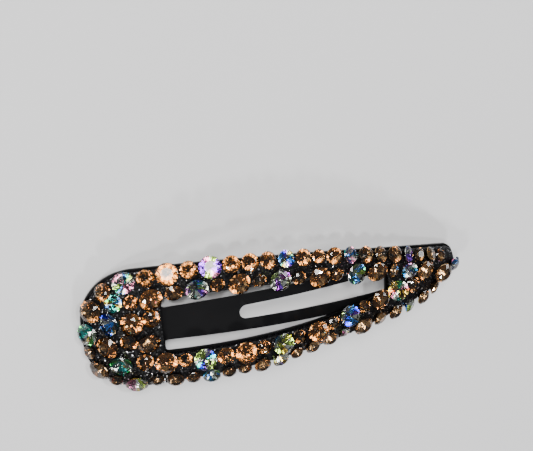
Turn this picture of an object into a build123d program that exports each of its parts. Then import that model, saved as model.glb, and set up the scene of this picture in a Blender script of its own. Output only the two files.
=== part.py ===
from build123d import *
import math
import os
import random

# A rhinestone snap hair clip lying on its back, stones up.
# +X runs from the wide end to the narrow tip, +Y across the clip and +Z up.
# The origin is on the surface that the clip lies on, under the middle of its box.
# Millimetres and degrees.
#
# Places on the clip are given as a station, the distance along the arch from the wide end,
# a distance across, and a height above (or a depth below) the frame's top face.

# Arch: tangent arcs from the wide end to the tip, each (station it reaches, radius)
ARCH = ((30.0, 217.0), (60.0, 132.0), (math.inf, 95.0))
ARCH_LENGTH = 88.0
START_SLOPE = 16.9            # rise of the arch at the wide end

# Frame: a pressed spring-steel ring with a solid plate at its wide end
FRAME_SHEET = 0.6
WIDE_HALF_WIDTH = 13.0
WIDE_CORNER_RADIUS = 11.0
TIP_RADIUS = 4.5
PLATE_END = 16.5              # station of the plate's straight edge
OPENING_MIDDLE = 41.5
OPENING_END = 66.5
OPENING_HALF_WIDTHS = (5.75, 5.3, 2.2)   # at the plate, the middle and the end
OPENING_CORNER = 0.8

# Tongue: the slotted leaf that swings down out of the frame
TONGUE_SHEET = 0.45
TONGUE_GAP = 0.12             # air between the frame's sheet and the tongue at the root
TONGUE_BEND = 1.03            # how much tighter the tongue bends than the frame
TONGUE_WIDEST = 66.0          # station of the widest place
TONGUE_END = 82.0
TONGUE_HALF_WIDTHS = (3.55, 4.85, 3.7)   # at the root, the widest place and the nose
TONGUE_NOSE_CORNER = 3.2
PAD_HALF_WIDTH = 8.0
PAD_END = 16.2
PAD_CORNER = 1.2
SLOT_START = 32.65
SLOT_END = 69.0
SLOT_HALF_WIDTHS = (1.6, 2.35)

# Root hinge: the tongue's rolled hem turns inside two lugs bent down from the frame
HINGE_STATION = 9.0
HEM_RADIUS = 0.6
HEM_HOLE_RADIUS = 0.15
HEM_CLEARANCE = 0.05
LUG_SHEET = 0.45
LUG_WIDTH = 4.5
LUG_SPACING = 10.5
LUG_WRAP = (90.0, 285.0)      # the lugs' arc round the hem, open towards the tongue

# Glitter bed: the black adhesive that holds the stones
BED_HEIGHT = 1.0
BED_INSET = 0.45

# Stones: pointed chatons, named by their girdle diameters
STONE_DIAMETER = {"large": 4.7, "medium": 3.7, "small": 3.0}
GIRDLE_SIDES = 16
GIRDLE_SHARE = 0.04           # girdle band height over the stone's diameter
TABLE_SHARE = 0.55            # table radius over girdle radius
CULET_SHARE = 0.06            # blunt culet radius over girdle radius
CROWN_ANGLE = 35.0
PAVILION_ANGLE = 41.0
CULET_CLEARANCE = 0.15        # bed left under each culet
STONE_CLEARANCE = 0.03
LIFT_STEP = 0.1
NEIGHBOUR_REACH = 7.0         # centres further apart than this can't touch
WOBBLE = 7.0                  # how far a hand-set stone may lean off its row
TIPPED = 22.0                 # lean of a stone marked < or >
SEED = 11

COLOURS = {"t": "topaz", "a": "aurora"}
SIZES = {"l": "large", "m": "medium", "s": "small"}

# Rows of stones: name, lean outwards, path as (station, across) and the stones in order.
# Every row runs anticlockwise seen from above, so outwards is on its right.
# A stone is a colour and a size letter, and > or < tips it towards the tip or the wide end.
ROWS = (
    (
        "upper_rim",
        20.0,
        ((82.0, 2.6), (66.0, 7.1), (50.0, 10.2), (34.0, 11.8), (24.0, 12.0), (14.0, 11.3)),
        "ts tm> ts am> tm tm> tm am> tm ts tm am tm tm tm al tm tl tm",
    ),
    (
        "wide_rim",
        34.0,
        ((9.6, 10.9), (3.2, 7.0), (1.4, 1.4), (1.2, -3.6), (3.6, -8.6), (9.8, -11.5)),
        "al tm tl al ts tl ts al",
    ),
    (
        "lower_rim",
        22.0,
        ((14.0, -11.4), (26.0, -12.0), (42.0, -10.9), (56.0, -8.2), (80.0, -4.5), (86.4, -0.8)),
        "ts tm ts am ts ts tm am ts tm tm as> tl tm> tm am> tm tm> ts am",
    ),
    (
        "upper_inner",
        -8.0,
        ((81.2, -0.9), (73.5, 1.6), (60.5, 4.3), (47.0, 6.1), (31.5, 7.7), (14.6, 6.9)),
        "tl tl am< tm> tl al ts tl ts al ts tl ts al tm tl",
    ),
    (
        "lower_inner",
        -6.0,
        ((12.0, -6.9), (24.5, -8.0), (40.0, -7.5), (53.5, -5.3), (67.0, -2.2), (73.0, -1.9)),
        "tm tl ts al tm tl ts al ts tl ts al ts tl al< tm",
    ),
    (
        "plate_ring",
        24.0,
        ((10.6, 6.4), (7.0, 6.6), (5.9, 2.9), (4.9, -2.6), (7.2, -6.9)),
        "ts am al tl al",
    ),
    (
        "plate_heart",
        14.0,
        ((14.2, 2.6), (10.3, 2.1), (9.3, -2.1), (13.2, -2.7)),
        "tm tl tm tl",
    ),
)


def along_arch(station):
    """Return x, z and the slope, in radians, of the frame's top face at a station."""
    x, z, slope, walked = 0.0, 0.0, math.radians(START_SLOPE), 0.0
    for reach, radius in ARCH:
        stop = min(station, reach)
        end_slope = slope - (stop - walked) / radius
        x += radius * (math.sin(slope) - math.sin(end_slope))
        z += radius * (math.cos(end_slope) - math.cos(slope))
        slope, walked = end_slope, stop
    return x, z, slope


def arch_plane(station, across=0.0, height=0.0):
    """Return the plane tangent to the frame's top face, raised by a height."""
    x, z, slope = along_arch(station)
    tangent = Vector(math.cos(slope), 0, math.sin(slope))
    normal = Vector(-math.sin(slope), 0, math.cos(slope))
    return Plane(Vector(x, across, z) + normal * height, x_dir=tangent, z_dir=normal)


def plan_x(station):
    """Return how far along X a station is."""
    return along_arch(station)[0]


PLAN_LENGTH = plan_x(ARCH_LENGTH)
TIP_CENTRE = PLAN_LENGTH - TIP_RADIUS
HEM_DEPTH = FRAME_SHEET + TONGUE_GAP + HEM_RADIUS
PLAN_HEIGHT = 40.0            # more than twice the arch's height
OVERRUN = 1.0                 # how far a sheet runs on past the plan that trims it

# The side is one arc, square to the wide end's corner and tangent to the round tip.
SIDE_RUN = TIP_CENTRE - WIDE_CORNER_RADIUS
SIDE_RADIUS = (SIDE_RUN**2 + WIDE_HALF_WIDTH**2 - TIP_RADIUS**2) / (2 * (WIDE_HALF_WIDTH - TIP_RADIUS))
SIDE_TURN = math.degrees(math.asin(SIDE_RUN / (SIDE_RADIUS - TIP_RADIUS)))


def arch_arcs(start, end, depth, bend):
    """Draw the arch's arcs at a depth in the current line and return their two ends."""
    x, z, slope = along_arch(start)
    first = point = Vector(x + depth * math.sin(slope), z - depth * math.cos(slope))
    walked = start
    for reach, radius in ARCH:
        stop = min(end, reach)
        if stop > walked:
            turn = (stop - walked) * bend / radius
            heading = (math.cos(slope), math.sin(slope))
            arc = JernArc(point, heading, radius / bend - depth, -math.degrees(turn))
            point = arc @ 1
            slope -= turn
            walked = stop
    return first, point


def sheet_profile(start, end, top, bottom, bend=1.0):
    """Return the side view of a sheet between two stations and two depths under the arch."""
    with BuildSketch(Plane.XZ) as profile:
        with BuildLine():
            top_start, top_end = arch_arcs(start, end, top, bend)
            bottom_start, bottom_end = arch_arcs(start, end, bottom, bend)
            Line(top_start, bottom_start)
            Line(top_end, bottom_end)
        make_face()
    return profile.sketch


def outline(inset=0.0):
    """Return the clip's outline seen from above, moved in by an inset."""
    with BuildSketch() as shape:
        with BuildLine():
            end_line = Line((inset, 0), (inset, WIDE_HALF_WIDTH - WIDE_CORNER_RADIUS))
            corner = JernArc(end_line @ 1, (0, 1), WIDE_CORNER_RADIUS - inset, -90)
            side = JernArc(corner @ 1, (1, 0), SIDE_RADIUS - inset, -SIDE_TURN)
            JernArc(side @ 1, side % 1, TIP_RADIUS - inset, SIDE_TURN - 90)
            mirror(about=Plane.XZ)
        make_face()
    return shape.sketch


def opening(margin=0.0):
    """Return the frame's opening seen from above, grown by a margin."""
    at_plate, at_middle, at_end = OPENING_HALF_WIDTHS
    start, end = plan_x(PLATE_END), plan_x(OPENING_END)
    with BuildSketch() as shape:
        with BuildLine():
            Line((start, 0), (start, at_plate))
            ThreePointArc((start, at_plate), (plan_x(OPENING_MIDDLE), at_middle), (end, at_end))
            Line((end, at_end), (end, 0))
            mirror(about=Plane.XZ)
        make_face()
        fillet(shape.vertices(), OPENING_CORNER)
        if margin:
            offset(amount=margin)
    return shape.sketch


def tongue_outline():
    """Return the tongue seen from above: pad, leaf, nose and slot."""
    at_root, at_widest, at_nose = TONGUE_HALF_WIDTHS
    hem, pad = plan_x(HINGE_STATION), plan_x(PAD_END)
    widest, nose = plan_x(TONGUE_WIDEST), plan_x(TONGUE_END)
    with BuildSketch() as shape:
        with BuildLine():
            Polyline(
                (hem, 0),
                (hem, PAD_HALF_WIDTH),
                (pad, PAD_HALF_WIDTH),
                (pad, at_root),
                (widest, at_widest),
                (nose, at_nose),
                (nose, 0),
            )
            mirror(about=Plane.XZ)
        make_face()
        fillet(shape.vertices().group_by(Axis.X)[-1], TONGUE_NOSE_CORNER)
        fillet(shape.vertices().group_by(Axis.X)[1], PAD_CORNER)
        add(slot_outline(), mode=Mode.SUBTRACT)
    return shape.sketch


def slot_outline():
    """Return the tongue's long slot, round at the root end and wider towards the tip."""
    at_start, at_end = SLOT_HALF_WIDTHS
    round_centre, end = plan_x(SLOT_START + at_start), plan_x(SLOT_END)
    with BuildSketch() as shape:
        with BuildLine():
            Line((round_centre, at_start), (end, at_end))
            Line((end, at_end), (end, 0))
            JernArc((round_centre - at_start, 0), (0, 1), at_start, -90)
            mirror(about=Plane.XZ)
        make_face()
        fillet(shape.vertices().group_by(Axis.X)[-1], OPENING_CORNER)
    return shape.sketch


def arched_sheet(top, bottom, plan):
    """Return the arched sheet between two depths, trimmed to its plan from above."""
    with BuildPart() as sheet:
        profile = sheet_profile(-OVERRUN, ARCH_LENGTH + OVERRUN, top, bottom)
        extrude(profile, WIDE_HALF_WIDTH + OVERRUN, both=True)
        extrude(below(plan), PLAN_HEIGHT, mode=Mode.INTERSECT)
    return sheet.part


def below(plan):
    """Return a plan moved under the whole clip, from where it is extruded up through it."""
    return Pos(0, 0, -PLAN_HEIGHT / 2) * plan


def hinge_side_view():
    """Return the plane square to the hinge axis, its origin on the axis."""
    hinge = arch_plane(HINGE_STATION, 0, -HEM_DEPTH)
    return Plane(hinge.origin, x_dir=hinge.x_dir, z_dir=(0, -1, 0))


def lug_profile():
    """Return a lug's side view: a strip of the sheet wrapped round the hem."""
    start, end = LUG_WRAP
    with BuildSketch(hinge_side_view()) as profile:
        with BuildLine():
            CenterArc((0, 0), HEM_RADIUS + HEM_CLEARANCE + LUG_SHEET / 2, start, end - start)
        trace(line_width=LUG_SHEET)
    return profile.sketch


def make_frame():
    """The arched ring and plate, with the two lugs that hold the tongue's hem."""
    with BuildPart() as frame:
        add(arched_sheet(0, FRAME_SHEET, outline() - opening()))
        for across in (-LUG_SPACING / 2, LUG_SPACING / 2):
            extrude(Pos(0, across, 0) * lug_profile(), LUG_WIDTH / 2, both=True)
    return frame.part


def make_tongue():
    """The slotted leaf with its rolled hem on the hinge axis."""
    top = FRAME_SHEET + TONGUE_GAP
    with BuildPart() as tongue:
        leaf = sheet_profile(HINGE_STATION, TONGUE_END, top, top + TONGUE_SHEET, TONGUE_BEND)
        extrude(leaf, PAD_HALF_WIDTH + OVERRUN, both=True)
        extrude(below(tongue_outline()), PLAN_HEIGHT, mode=Mode.INTERSECT)
        with BuildSketch(hinge_side_view()):
            Circle(HEM_RADIUS)
        extrude(amount=PAD_HALF_WIDTH, both=True)
        with BuildSketch(hinge_side_view()):
            Circle(HEM_HOLE_RADIUS)
        extrude(amount=PAD_HALF_WIDTH, both=True, mode=Mode.SUBTRACT)
    return tongue.part


def make_stone(diameter):
    """A pointed chaton: table up, its girdle's lower edge on Z = 0."""
    radius = diameter / 2
    crown = (1 - TABLE_SHARE) * radius * math.tan(math.radians(CROWN_ANGLE))
    with BuildPart() as stone:
        with BuildSketch():
            RegularPolygon(radius, GIRDLE_SIDES)
        extrude(amount=diameter * GIRDLE_SHARE)
        extrude(stone.faces().sort_by(Axis.Z)[-1], crown, taper=90 - CROWN_ANGLE)
        extrude(stone.faces().sort_by(Axis.Z)[0], pavilion_height(diameter), taper=90 - PAVILION_ANGLE)
    return stone.part


def pavilion_height(diameter):
    """Return how far a stone's culet lies below its girdle."""
    return (1 - CULET_SHARE) * diameter / 2 * math.tan(math.radians(PAVILION_ANGLE))


def stone_plane(station, across, outwards, lean, sway, diameter):
    """Return the plane of a leaning stone's girdle, its culet just inside the bed."""
    surface = arch_plane(station, across)
    out = surface.x_dir * outwards.X + surface.y_dir * outwards.Y
    tipped = surface.x_dir * math.tan(math.radians(sway))
    axis = (surface.z_dir + out * math.tan(math.radians(lean)) + tipped).normalized()
    upright = axis.dot(surface.z_dir)
    lowest = max(pavilion_height(diameter) * upright, diameter / 2 * math.sqrt(1 - upright**2))
    seat = CULET_CLEARANCE + lowest
    return Plane(surface.origin + surface.z_dir * seat, x_dir=surface.x_dir, z_dir=axis)


def lay_row(path, codes, lean, chance):
    """Yield the code and girdle plane of each stone in a row, evenly spaced along it."""
    with BuildLine() as line:
        Spline(*path)
    curve = line.edge()
    sizes = [STONE_DIAMETER[SIZES[code[1]]] for code in codes]
    gap = (curve.length - sum(sizes) + (sizes[0] + sizes[-1]) / 2) / (len(codes) - 1)
    walked = 0.0
    for index, code in enumerate(codes):
        if index:
            walked += (sizes[index - 1] + sizes[index]) / 2 + gap
        place = curve.position_at(walked / curve.length)
        heading = curve.tangent_at(walked / curve.length)
        outwards = Vector(heading.Y, -heading.X)
        sway = chance.uniform(-WOBBLE, WOBBLE)
        sway += TIPPED * (code.endswith(">") - code.endswith("<"))
        tilt = lean + chance.uniform(-WOBBLE, WOBBLE)
        plane = stone_plane(place.X, place.Y, outwards, tilt, sway, sizes[index])
        yield code, plane


def facets(stone):
    """Return a stone's facets as (outward normal, level) and its corners."""
    sides = [(face.normal_at(), face.normal_at().dot(face.center())) for face in stone.faces()]
    return sides, [Vector(*corner) for corner in stone.vertices()]


def clears(first, second):
    """Tell whether a facet of either stone has the whole other stone outside it."""
    for (sides, _), (_, corners) in ((first, second), (second, first)):
        for normal, level in sides:
            if all(normal.dot(corner) > level + STONE_CLEARANCE for corner in corners):
                return True
    return False


def settle(stone, up, placed):
    """Raise a stone along its own axis until it clears the stones already set."""
    near = [shape for shape in placed if (shape[1][0] - stone.center()).length < NEIGHBOUR_REACH]
    while not all(clears(facets(stone), shape) for shape in near):
        stone = stone.moved(Location(up * LIFT_STEP))
    return stone


def set_stones():
    """Return every stone as (row, colour, size, solid)."""
    chance = random.Random(SEED)
    templates = {size: make_stone(diameter).solid() for size, diameter in STONE_DIAMETER.items()}
    stones, placed = [], []
    for row, lean, path, pattern in ROWS:
        for code, plane in lay_row(path, pattern.split(), lean, chance):
            size = SIZES[code[1]]
            spin = Rotation(0, 0, chance.uniform(0, 360))
            solid = settle(templates[size].moved(plane.location * spin), plane.z_dir, placed)
            placed.append(facets(solid))
            stones.append((row, COLOURS[code[0]], size, solid))
    return stones


def make_bed(stones):
    """The glitter bed on the frame's top face, with a pocket for every stone."""
    with BuildPart() as bed:
        add(arched_sheet(-BED_HEIGHT, 0, outline(BED_INSET) - opening(BED_INSET)))
        add(stones, mode=Mode.SUBTRACT)
    return bed.part


def node_name(row, colour, size, count):
    """Name a stone's node: the small stones of a row that look alike share one."""
    if colour == "topaz" and size != "large":
        return f"{row}_{colour}_{size}"
    return f"{row}_{colour}_{size}_{count}"


def group_stones(stones):
    """Return the stones as node name to list of solids."""
    nodes, counts = {}, {}
    for row, colour, size, solid in stones:
        kind = (row, colour, size)
        counts[kind] = counts.get(kind, 0) + 1
        nodes.setdefault(node_name(*kind, counts[kind]), []).append(solid)
    return nodes


def rest_origin(solids):
    """Return the middle of the bottom of the box round all the solids."""
    boxes = [solid.bounding_box() for solid in solids]
    low = [min(values) for values in zip(*(tuple(box.min) for box in boxes))]
    high = [max(values) for values in zip(*(tuple(box.max) for box in boxes))]
    return Vector((low[0] + high[0]) / 2, (low[1] + high[1]) / 2, low[2])


stones = set_stones()
stone_solids = [solid for _, _, _, solid in stones]
nodes = {"frame": [make_frame()], "tongue": [make_tongue()], "glitter_bed": [make_bed(stone_solids)]}
nodes.update(group_stones(stones))
origin = rest_origin([solid for group in nodes.values() for solid in group])

os.makedirs("parts", exist_ok=True)
for name, group in nodes.items():
    with BuildPart() as piece:
        add(group)
    placed = piece.part.moved(Location(-origin))
    placed.label = name
    export_step(placed, f"parts/{name}.step")

hinge = arch_plane(HINGE_STATION, 0, -HEM_DEPTH).origin - origin
print(f"{len(nodes)} nodes, {len(stones)} stones, hinge axis at {hinge}, origin {origin}")
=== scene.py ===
import math
import random

import bmesh
import bpy
from mathutils import Matrix, Quaternion, Vector


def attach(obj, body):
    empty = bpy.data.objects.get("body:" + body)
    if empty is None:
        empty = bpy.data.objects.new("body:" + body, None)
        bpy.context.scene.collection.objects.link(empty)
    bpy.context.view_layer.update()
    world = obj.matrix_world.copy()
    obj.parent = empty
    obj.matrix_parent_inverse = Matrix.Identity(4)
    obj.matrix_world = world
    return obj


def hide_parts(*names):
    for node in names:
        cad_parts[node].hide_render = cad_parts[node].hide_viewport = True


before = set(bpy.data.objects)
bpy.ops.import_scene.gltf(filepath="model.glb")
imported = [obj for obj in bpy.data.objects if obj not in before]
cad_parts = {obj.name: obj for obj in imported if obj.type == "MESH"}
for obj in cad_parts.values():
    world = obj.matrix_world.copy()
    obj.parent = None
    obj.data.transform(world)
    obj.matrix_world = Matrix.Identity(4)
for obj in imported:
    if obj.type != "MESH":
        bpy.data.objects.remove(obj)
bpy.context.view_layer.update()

MM = 0.001
SEED = 23
WELD_DISTANCE = 0.002 * MM    # CAD faces meet within this

# Camera: looks down on the stones, from the wide end and a little past the +Y edge
CAMERA_AIM = Vector((-4.3, 18.0, 8.0)) * MM
CAMERA_DISTANCE = 183.1 * MM
CAMERA_AZIMUTH = 136.6        # degrees from +X towards +Y
CAMERA_ELEVATION = 62.7
CAMERA_ROLL = 4.2
CAMERA_LENS = 60.8            # mm on the standard 36 mm sensor

# Brilliant cut, as shares of the girdle's radius or of the crown's or pavilion's height
FOLDS = 8
TABLE_RADIUS = 0.56
STAR_RADIUS = 0.78
STAR_HEIGHT = 0.62
LOWER_RADIUS = 0.24
LOWER_DEPTH = 0.78
RING_SHARE = 0.99             # a corner this far out lies on the girdle
TABLE_LEVEL = 0.98            # a corner this far up a stone lies on its table
GLASS, FOIL = 0, 1            # a stone's material slots

GLASS_IOR = 1.56
FOIL_ROUGHNESS = 0.08

# Topaz: its glass, the foil under it, each stone's tone, and the painted light and shade of its
# facets
TOPAZ_GLASS = (0.97, 0.87, 0.76)
TOPAZ_FOIL = (0.63, 0.40, 0.19)
TOPAZ_STONE_SHADES = (0.85, 1.15)
# Painted light and shade: each facet's foil is darkened or lightened by one of these
TOPAZ_PAINTED_LIGHT_AND_SHADE = (0.40, 0.65, 0.85, 1.0, 1.35)

# Aurora: its glass, its clear foil, the flashes of its coating, and the painted shade of its
# facets
AURORA_GLASS = (0.97, 0.98, 0.97)
AURORA_CLEAR = (0.92, 0.95, 0.88)
AURORA_FLASHES = (
    (0.66, 0.95, 0.16),
    (0.98, 0.66, 0.10),
    (0.02, 0.62, 0.58),
    (0.06, 0.32, 0.95),
    (0.26, 0.06, 0.78),
    (0.98, 0.28, 0.54),
)
FLASHES_PER_STONE = 3         # each beside a clear sector
# Painted shade: some facets' foil is darkened by one of these
AURORA_PAINTED_SHADE = (0.45, 0.9, 1.0, 1.0)

# Sheet metal: the radius of its edges and the roughness of its enamel
FRAME_EDGE = 0.10 * MM
TONGUE_EDGE = 0.08 * MM
FRAME_ROUGHNESS = 0.34
TONGUE_ROUGHNESS = 0.42
ENAMEL_BLACK = (0.002, 0.002, 0.0025, 1)
PEEL_DEPTH = 0.03 * MM

# Glitter bed: a skin of adhesive, with sunk flakes in its material and loose ones on it
BLACK_SPECULAR = 0.12         # enamel and adhesive are both duller than bare plastic
BED_VOXEL = 0.20 * MM
BED_LUMP = 0.12 * MM
BED_LUMP_SIZE = 0.8 * MM
SUNK_FLAKES = 4200.0          # Voronoi cells per metre
SUNK_FLAKE_TILT = 0.6
SUNK_FLAKE_START = 0.92       # the share of cells that are plain black adhesive
SUNK_FLAKE_FULL = 0.94
SUNK_FLAKE_GREYS = ((0.92, 0.003), (0.94, 0.06), (0.97, 0.10), (0.985, 0.7))
FACING_UP = 0.85              # least Z of the normal of a face that flakes lie on
FLAKE_COUNT = 1100
FLAKE_RADII = (0.04 * MM, 0.09 * MM)
FLAKE_SIDES = 6
FLAKE_THICKNESS = 0.03 * MM
FLAKE_LIFT = 0.03 * MM        # how far a flake's middle stands off the bed
FLAKE_TILT = 30.0

FLOOR_SIZE = 3.0
FLOOR_GREYS = ((0.60, 0.60, 0.61, 1), (0.66, 0.66, 0.67, 1))

SKY = (0.75, 0.77, 0.80, 1)
SKY_STRENGTH = 0.26
WARM, COOL, WHITE = (1.0, 0.97, 0.93), (0.93, 0.96, 1.0), (1.0, 1.0, 1.0)

# Softboxes: name, place in metres, size, power and colour. The stones catch the small ones.
LIGHTS = (
    ("key", (-0.25, 0.45, 0.75), 0.30, 7.5, WARM),
    ("fill", (0.75, 0.25, 0.45), 0.30, 2.5, COOL),
    ("spark_1", (-0.55, -0.25, 0.50), 0.07, 2.4, WHITE),
    ("spark_2", (0.15, 0.30, 0.70), 0.05, 2.4, WHITE),
    ("spark_3", (0.10, -0.60, 0.45), 0.07, 2.4, WHITE),
    ("spark_4", (-0.35, 0.05, 0.75), 0.05, 2.0, WHITE),
)


def new_object(name, mesh, materials):
    """Put a mesh into the scene as an object with these materials."""
    for material in materials:
        mesh.materials.append(material)
    piece = bpy.data.objects.new(name, mesh)
    bpy.context.scene.collection.objects.link(piece)
    return piece


def mesh_from(shape, name):
    """Turn a bmesh into a mesh and free it."""
    mesh = bpy.data.meshes.new(name)
    shape.to_mesh(mesh)
    shape.free()
    return mesh


# ---------------------------------------------------------------- materials

def new_material(name):
    """Return a new material and its Principled shader."""
    material = bpy.data.materials.new(name)
    material.use_nodes = True
    return material, material.node_tree.nodes["Principled BSDF"]


def add_node(material, kind, **inputs):
    """Add a node to a material and set some of its inputs."""
    node = material.node_tree.nodes.new(kind)
    for name, value in inputs.items():
        node.inputs[name].default_value = value
    return node


def add_vector_math(material, operation):
    """Add a vector math node to a material."""
    node = add_node(material, "ShaderNodeVectorMath")
    node.operation = operation
    return node


def link(material, start, end):
    """Join two sockets."""
    material.node_tree.links.new(start, end)


def object_point(material):
    """Return the socket of the point's place on the object, in metres."""
    return add_node(material, "ShaderNodeTexCoord").outputs["Object"]


def enamel_material(name, roughness):
    """Black enamel baked on sheet steel: a soft gloss with a faint orange peel."""
    material, shader = new_material(name)
    shader.inputs["Base Color"].default_value = ENAMEL_BLACK
    shader.inputs["Specular IOR Level"].default_value = BLACK_SPECULAR
    shader.inputs["Coat Weight"].default_value = 0.05
    shader.inputs["Coat Roughness"].default_value = 0.16
    point = object_point(material)
    peel = add_node(material, "ShaderNodeTexNoise", Scale=1400.0, Detail=3.0)
    smudge = add_node(material, "ShaderNodeTexNoise", Scale=130.0, Detail=4.0)
    link(material, point, peel.inputs["Vector"])
    link(material, point, smudge.inputs["Vector"])
    spread = add_node(material, "ShaderNodeMapRange")
    spread.inputs["To Min"].default_value = roughness - 0.06
    spread.inputs["To Max"].default_value = roughness + 0.10
    link(material, smudge.outputs["Fac"], spread.inputs["Value"])
    link(material, spread.outputs["Result"], shader.inputs["Roughness"])
    bump = add_node(material, "ShaderNodeBump", Strength=0.12, Distance=PEEL_DEPTH)
    link(material, peel.outputs["Fac"], bump.inputs["Height"])
    link(material, bump.outputs["Normal"], shader.inputs["Normal"])
    return material


def glitter_bed_material():
    """Black adhesive packed with tiny flakes, each one facing its own way."""
    material, shader = new_material("black_glitter")
    shader.inputs["Specular IOR Level"].default_value = BLACK_SPECULAR
    shader.inputs["Roughness"].default_value = 0.35
    flakes = add_node(material, "ShaderNodeTexVoronoi", Scale=SUNK_FLAKES)
    link(material, object_point(material), flakes.inputs["Vector"])
    split = add_node(material, "ShaderNodeSeparateColor")
    link(material, flakes.outputs["Color"], split.inputs["Color"])

    bright = add_node(material, "ShaderNodeValToRGB")
    stops = bright.color_ramp.elements
    stops[0].position, stops[0].color = 0.0, (0.004, 0.004, 0.005, 1)
    stops[1].position, stops[1].color = 1.0, (0.75, 0.76, 0.80, 1)
    for position, grey in SUNK_FLAKE_GREYS:
        stop = stops.new(position)
        stop.color = (grey, grey, grey * 1.05, 1)
    link(material, split.outputs["Red"], bright.inputs["Fac"])
    link(material, bright.outputs["Color"], shader.inputs["Base Color"])

    metal = add_node(material, "ShaderNodeMapRange")
    metal.inputs["From Min"].default_value = SUNK_FLAKE_START
    metal.inputs["From Max"].default_value = SUNK_FLAKE_FULL
    link(material, split.outputs["Red"], metal.inputs["Value"])
    link(material, metal.outputs["Result"], shader.inputs["Metallic"])

    centred = add_vector_math(material, "SUBTRACT")
    centred.inputs[1].default_value = (0.5, 0.5, 0.5)
    link(material, flakes.outputs["Color"], centred.inputs[0])
    tilt = add_vector_math(material, "SCALE")
    tilt.inputs["Scale"].default_value = SUNK_FLAKE_TILT
    link(material, centred.outputs["Vector"], tilt.inputs[0])
    surface = add_node(material, "ShaderNodeNewGeometry")
    lean = add_vector_math(material, "ADD")
    link(material, surface.outputs["Normal"], lean.inputs[0])
    link(material, tilt.outputs["Vector"], lean.inputs[1])
    unit = add_vector_math(material, "NORMALIZE")
    link(material, lean.outputs["Vector"], unit.inputs[0])
    link(material, unit.outputs["Vector"], shader.inputs["Normal"])
    return material


def flake_material():
    """Loose silver flakes on the bed."""
    material, shader = new_material("silver_flake")
    shader.inputs["Metallic"].default_value = 1.0
    shader.inputs["Roughness"].default_value = 0.2
    tone = add_node(material, "ShaderNodeTexNoise", Scale=900.0)
    link(material, object_point(material), tone.inputs["Vector"])
    ramp = add_node(material, "ShaderNodeValToRGB")
    ramp.color_ramp.elements[0].color = (0.35, 0.35, 0.37, 1)
    ramp.color_ramp.elements[1].color = (0.95, 0.95, 0.98, 1)
    link(material, tone.outputs["Fac"], ramp.inputs["Fac"])
    link(material, ramp.outputs["Color"], shader.inputs["Base Color"])
    return material


def glass_material(name, tint):
    """Clear or tinted cut glass."""
    material, shader = new_material(name)
    shader.inputs["Base Color"].default_value = (*tint, 1)
    shader.inputs["Transmission Weight"].default_value = 1.0
    shader.inputs["Roughness"].default_value = 0.0
    shader.inputs["IOR"].default_value = GLASS_IOR
    return material


def foil_material(name):
    """Mirror foil behind a stone, each facet in its own colour, with painted light and shade on
    some facets.
    """
    material, shader = new_material(name)
    shader.inputs["Metallic"].default_value = 1.0
    shader.inputs["Roughness"].default_value = FOIL_ROUGHNESS
    tint = add_node(material, "ShaderNodeAttribute")
    tint.attribute_name = "facet_tint"
    link(material, tint.outputs["Color"], shader.inputs["Base Color"])
    return material


# ---------------------------------------------------------------- stones

class Seat:
    """Where one CAD stone sits: its axis, girdle and sizes, read from its own mesh."""

    def __init__(self, corners, table_normal):
        self.axis = table_normal
        heights = [corner.dot(self.axis) for corner in corners]
        top, bottom = max(heights), min(heights)
        table_level = bottom + TABLE_LEVEL * (top - bottom)
        table = [corner for corner, height in zip(corners, heights) if height > table_level]
        middle = sum(table, Vector()) / len(table)
        across = [(c - middle) - self.axis * (c - middle).dot(self.axis) for c in corners]
        self.radius = max(offset.length for offset in across)
        ring = [h for h, a in zip(heights, across) if a.length > RING_SHARE * self.radius]
        self.out = next(a for a in across if a.length > RING_SHARE * self.radius).normalized()
        self.centre = middle + self.axis * (min(ring) - top)
        self.girdle = max(ring) - min(ring)
        self.crown = top - max(ring)
        self.pavilion = min(ring) - bottom

    def point(self, fold, radius, height):
        """Return the point at a number of folds round the axis, a radius and a height."""
        turn = Quaternion(self.axis, math.tau * fold / FOLDS)
        return self.centre + (turn @ self.out) * radius + self.axis * height


def whole_stone(start):
    """Return the corners of the stone that a corner belongs to, in the mesh's own order."""
    found, to_search = {start}, [start]
    while to_search:
        for edge in to_search.pop().link_edges:
            fresh = {corner for corner in edge.verts if corner not in found}
            found |= fresh
            to_search.extend(fresh)
    return sorted(found, key=lambda corner: corner.index)


def widest_side(corners):
    """Return the normal of a stone's largest flat side, which is its table."""
    faces = {face for corner in corners for face in corner.link_faces}
    areas = {}
    for face in sorted(faces, key=lambda face: face.index):
        key = tuple(round(value, 2) for value in face.normal)
        area, _ = areas.get(key, (0.0, None))
        areas[key] = (area + face.calc_area(), face.normal.copy())
    return max(areas.values(), key=lambda entry: entry[0])[1].normalized()


def read_seats(node):
    """Return the seats of all the stones in a CAD node."""
    shape = bmesh.new()
    shape.from_mesh(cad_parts[node].data)
    bmesh.ops.remove_doubles(shape, verts=shape.verts, dist=WELD_DISTANCE)
    shape.verts.index_update()
    shape.faces.index_update()
    seats, seen = [], set()
    for start in shape.verts:
        if start not in seen:
            corners = whole_stone(start)
            seen.update(corners)
            seats.append(Seat([corner.co.copy() for corner in corners], widest_side(corners)))
    shape.free()
    return sorted(seats, key=lambda seat: tuple(seat.centre))


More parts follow.
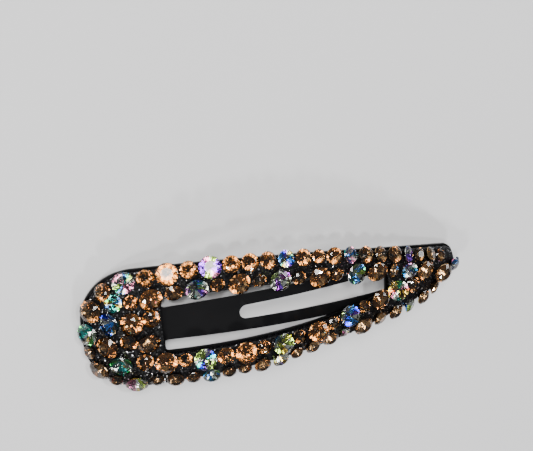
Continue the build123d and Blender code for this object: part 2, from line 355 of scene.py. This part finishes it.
def cut_stone(shape, tint_layer, seat, tint):
    """Add one brilliant-cut stone to a bmesh. tint(fold) gives each facet's foil colour."""
    radius, girdle, top = seat.radius, seat.girdle, seat.girdle + seat.crown
    star_height = girdle + STAR_HEIGHT * seat.crown

    def ring(start, step, count, size, height):
        return [shape.verts.new(seat.point(start + step * i, size, height)) for i in range(count)]

    table = ring(0, 1, FOLDS, TABLE_RADIUS * radius, top)
    stars = ring(0.5, 1, FOLDS, STAR_RADIUS * radius, star_height)
    upper = ring(0, 0.5, 2 * FOLDS, radius, girdle)
    lower = ring(0, 0.5, 2 * FOLDS, radius, 0.0)
    inner = ring(0.5, 1, FOLDS, LOWER_RADIUS * radius, -LOWER_DEPTH * seat.pavilion)
    culet = shape.verts.new(seat.point(0, 0.0, -seat.pavilion))

    facets = [(table, GLASS, 0)]
    for i in range(FOLDS):
        after, main, half = (i + 1) % FOLDS, 2 * i, 2 * i + 1
        last = 2 * after
        facets += [
            ([table[i], stars[i], table[after]], GLASS, i),
            ([table[i], stars[i - 1], upper[main], stars[i]], GLASS, i),
            ([stars[i], upper[main], upper[half]], GLASS, i),
            ([stars[i], upper[half], upper[last]], GLASS, i),
            ([inner[i], lower[half], lower[main]], FOIL, i),
            ([inner[i], lower[last], lower[half]], FOIL, i),
            ([culet, inner[i], lower[main], inner[i - 1]], FOIL, i),
            ([upper[main], lower[main], lower[half], upper[half]], FOIL, i),
            ([upper[half], lower[half], lower[last], upper[last]], FOIL, i),
        ]
    for corners, slot, fold in facets:
        face = shape.faces.new(corners)
        face.material_index = slot
        colour = tint(fold)
        for loop in face.loops:
            loop[tint_layer] = (*colour, 1.0)


def topaz_tint(chance):
    """Return a maker of foil tones: one tone for the stone, with painted light and shade in
    darker and lighter facets.
    """
    stone = chance.uniform(*TOPAZ_STONE_SHADES)

    def tint(fold):
        # Painted light and shade: the facet's foil is made darker or lighter at random
        shade = stone * chance.choice(TOPAZ_PAINTED_LIGHT_AND_SHADE)
        return tuple(min(channel * shade, 1.0) for channel in TOPAZ_FOIL)
    return tint


def aurora_tint(chance):
    """Return a maker of aurora foil: a few different flashes, with clear sectors between, and
    painted shade on some facets.
    """
    flashes = chance.sample(AURORA_FLASHES, FLASHES_PER_STONE)
    sectors = [colour for flash in flashes for colour in (AURORA_CLEAR, flash)]

    def tint(fold):
        # Painted shade: some facets' foil is made darker at random
        shade = chance.choice(AURORA_PAINTED_SHADE)
        return tuple(channel * shade for channel in sectors[fold * len(sectors) // FOLDS])
    return tint


def make_stones(node, materials, tint_maker, chance):
    """Replace a CAD node of stones with brilliant-cut ones in the same seats."""
    shape = bmesh.new()
    tint_layer = shape.loops.layers.float_color.new("facet_tint")
    for seat in read_seats(node):
        cut_stone(shape, tint_layer, seat, tint_maker(chance))
    bmesh.ops.recalc_face_normals(shape, faces=shape.faces)
    name = node + "_cut"
    piece = new_object(name, mesh_from(shape, name), materials)
    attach(piece, "frame")
    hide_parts(node)


def make_all_stones():
    """Cut every stone, in the order of the nodes' names."""
    topaz = [glass_material("topaz_glass", TOPAZ_GLASS), foil_material("rose_foil")]
    aurora = [glass_material("aurora_glass", AURORA_GLASS), foil_material("aurora_foil")]
    chance = random.Random(SEED)
    for node in sorted(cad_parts):
        if "_topaz_" in node:
            make_stones(node, topaz, topaz_tint, chance)
        elif "_aurora_" in node:
            make_stones(node, aurora, aurora_tint, chance)


# ---------------------------------------------------------------- metal and bed

def finish_sheet(node, material, edge):
    """Give a CAD sheet its material and slightly rounded edges."""
    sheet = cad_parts[node]
    sheet.data.materials.clear()
    sheet.data.materials.append(material)
    weld = sheet.modifiers.new("weld", "WELD")
    weld.merge_threshold = WELD_DISTANCE
    bevel = sheet.modifiers.new("rounded_edges", "BEVEL")
    bevel.width = edge
    bevel.segments = 3
    bevel.limit_method = "ANGLE"
    bevel.angle_limit = math.radians(40)
    normals = sheet.modifiers.new("normals", "WEIGHTED_NORMAL")
    normals.keep_sharp = False


def finish_bed(material):
    """Turn the CAD bed into a soft, lumpy skin of adhesive."""
    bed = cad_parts["glitter_bed"]
    bed.data.materials.clear()
    bed.data.materials.append(material)
    skin = bed.modifiers.new("skin", "REMESH")
    skin.mode = "VOXEL"
    skin.voxel_size = BED_VOXEL
    skin.use_smooth_shade = True
    soften = bed.modifiers.new("soften", "SMOOTH")
    soften.factor = 0.5
    soften.iterations = 4
    clouds = bpy.data.textures.new("lumps", "CLOUDS")
    clouds.noise_scale = BED_LUMP_SIZE
    lumps = bed.modifiers.new("lumps", "DISPLACE")
    lumps.texture = clouds
    lumps.texture_coords = "LOCAL"
    lumps.strength = BED_LUMP
    lumps.mid_level = 0.6


def add_flake(shape, place, turn, radius):
    """Add one flake to a bmesh: a thin closed plate with a top, a bottom and sides."""
    top, bottom = [], []
    for i in range(FLAKE_SIDES):
        angle = math.tau * i / FLAKE_SIDES
        for ring, height in ((top, FLAKE_THICKNESS / 2), (bottom, -FLAKE_THICKNESS / 2)):
            corner = Vector((radius * math.cos(angle), radius * math.sin(angle), height))
            ring.append(shape.verts.new(place + turn @ corner))
    shape.faces.new(top)
    shape.faces.new(reversed(bottom))
    for i in range(FLAKE_SIDES):
        shape.faces.new((top[i - 1], bottom[i - 1], bottom[i], top[i]))


def scatter_flakes(material):
    """Lay loose flakes on the bed's upper side, between the stones' pockets."""
    chance = random.Random(SEED)
    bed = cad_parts["glitter_bed"].data
    faces = [face for face in bed.polygons if face.normal.z > FACING_UP and face.area > 0]
    picks = chance.choices(faces, [face.area for face in faces], k=FLAKE_COUNT)
    spread = math.tan(math.radians(FLAKE_TILT)) / 2
    shape = bmesh.new()
    for face in picks:
        a, b, c = (bed.vertices[index].co for index in face.vertices[:3])
        u, v = sorted((chance.random(), chance.random()))
        place = a * u + b * (v - u) + c * (1 - v) + face.normal * FLAKE_LIFT
        tilt = Vector([chance.gauss(0, spread) for _ in range(3)])
        spin = Quaternion((0, 0, 1), chance.uniform(0, 6))
        turn = (face.normal + tilt).to_track_quat("Z", "Y") @ spin
        add_flake(shape, place, turn, chance.uniform(*FLAKE_RADII))
    piece = new_object("glitter_flakes", mesh_from(shape, "glitter_flakes"), [material])
    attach(piece, "frame")


# ---------------------------------------------------------------- studio

def make_floor():
    """A plain pale floor under the clip."""
    material, shader = new_material("pale_floor")
    shader.inputs["Roughness"].default_value = 0.8
    cloud = add_node(material, "ShaderNodeTexNoise", Scale=9.0, Detail=2.0)
    link(material, object_point(material), cloud.inputs["Vector"])
    ramp = add_node(material, "ShaderNodeValToRGB")
    for stop, grey in zip(ramp.color_ramp.elements, FLOOR_GREYS):
        stop.color = grey
    link(material, cloud.outputs["Fac"], ramp.inputs["Fac"])
    link(material, ramp.outputs["Color"], shader.inputs["Base Color"])
    mesh = bpy.data.meshes.new("floor")
    half = FLOOR_SIZE / 2
    corners = [(-half, -half, 0), (half, -half, 0), (half, half, 0), (-half, half, 0)]
    mesh.from_pydata(corners, [], [(0, 1, 2, 3)])
    new_object("floor", mesh, [material])


def add_light(name, place, size, power, colour):
    """Add a square softbox that faces the clip."""
    data = bpy.data.lights.new(name, "AREA")
    data.size = size
    data.energy = power
    data.color = colour
    light = bpy.data.objects.new(name, data)
    light.location = Vector(place)
    light.rotation_euler = (-Vector(place)).to_track_quat("-Z", "Y").to_euler()
    bpy.context.scene.collection.objects.link(light)


def make_lights():
    """Plain soft studio light under a dim sky."""
    world = bpy.data.worlds.new("studio")
    world.use_nodes = True
    background = world.node_tree.nodes["Background"]
    background.inputs["Color"].default_value = SKY
    background.inputs["Strength"].default_value = SKY_STRENGTH
    bpy.context.scene.world = world
    for light in LIGHTS:
        add_light(*light)


def make_camera():
    """The camera, at the angle of the photograph."""
    azimuth, elevation = math.radians(CAMERA_AZIMUTH), math.radians(CAMERA_ELEVATION)
    back = Vector((
        math.cos(elevation) * math.cos(azimuth),
        math.cos(elevation) * math.sin(azimuth),
        math.sin(elevation),
    ))
    up = Quaternion(-back, math.radians(CAMERA_ROLL)) @ Vector((0, 1, 0))
    right = up.cross(back).normalized()
    turn = Matrix((right, back.cross(right), back)).transposed().to_4x4()
    data = bpy.data.cameras.new("camera")
    data.lens = CAMERA_LENS
    data.clip_start = 0.01
    camera = bpy.data.objects.new("camera", data)
    camera.matrix_world = Matrix.Translation(CAMERA_AIM + back * CAMERA_DISTANCE) @ turn
    bpy.context.scene.collection.objects.link(camera)
    bpy.context.scene.camera = camera


make_camera()
make_floor()
make_lights()
finish_sheet("frame", enamel_material("frame_enamel", FRAME_ROUGHNESS), FRAME_EDGE)
finish_sheet("tongue", enamel_material("tongue_enamel", TONGUE_ROUGHNESS), TONGUE_EDGE)
finish_bed(glitter_bed_material())
scatter_flakes(flake_material())
make_all_stones()
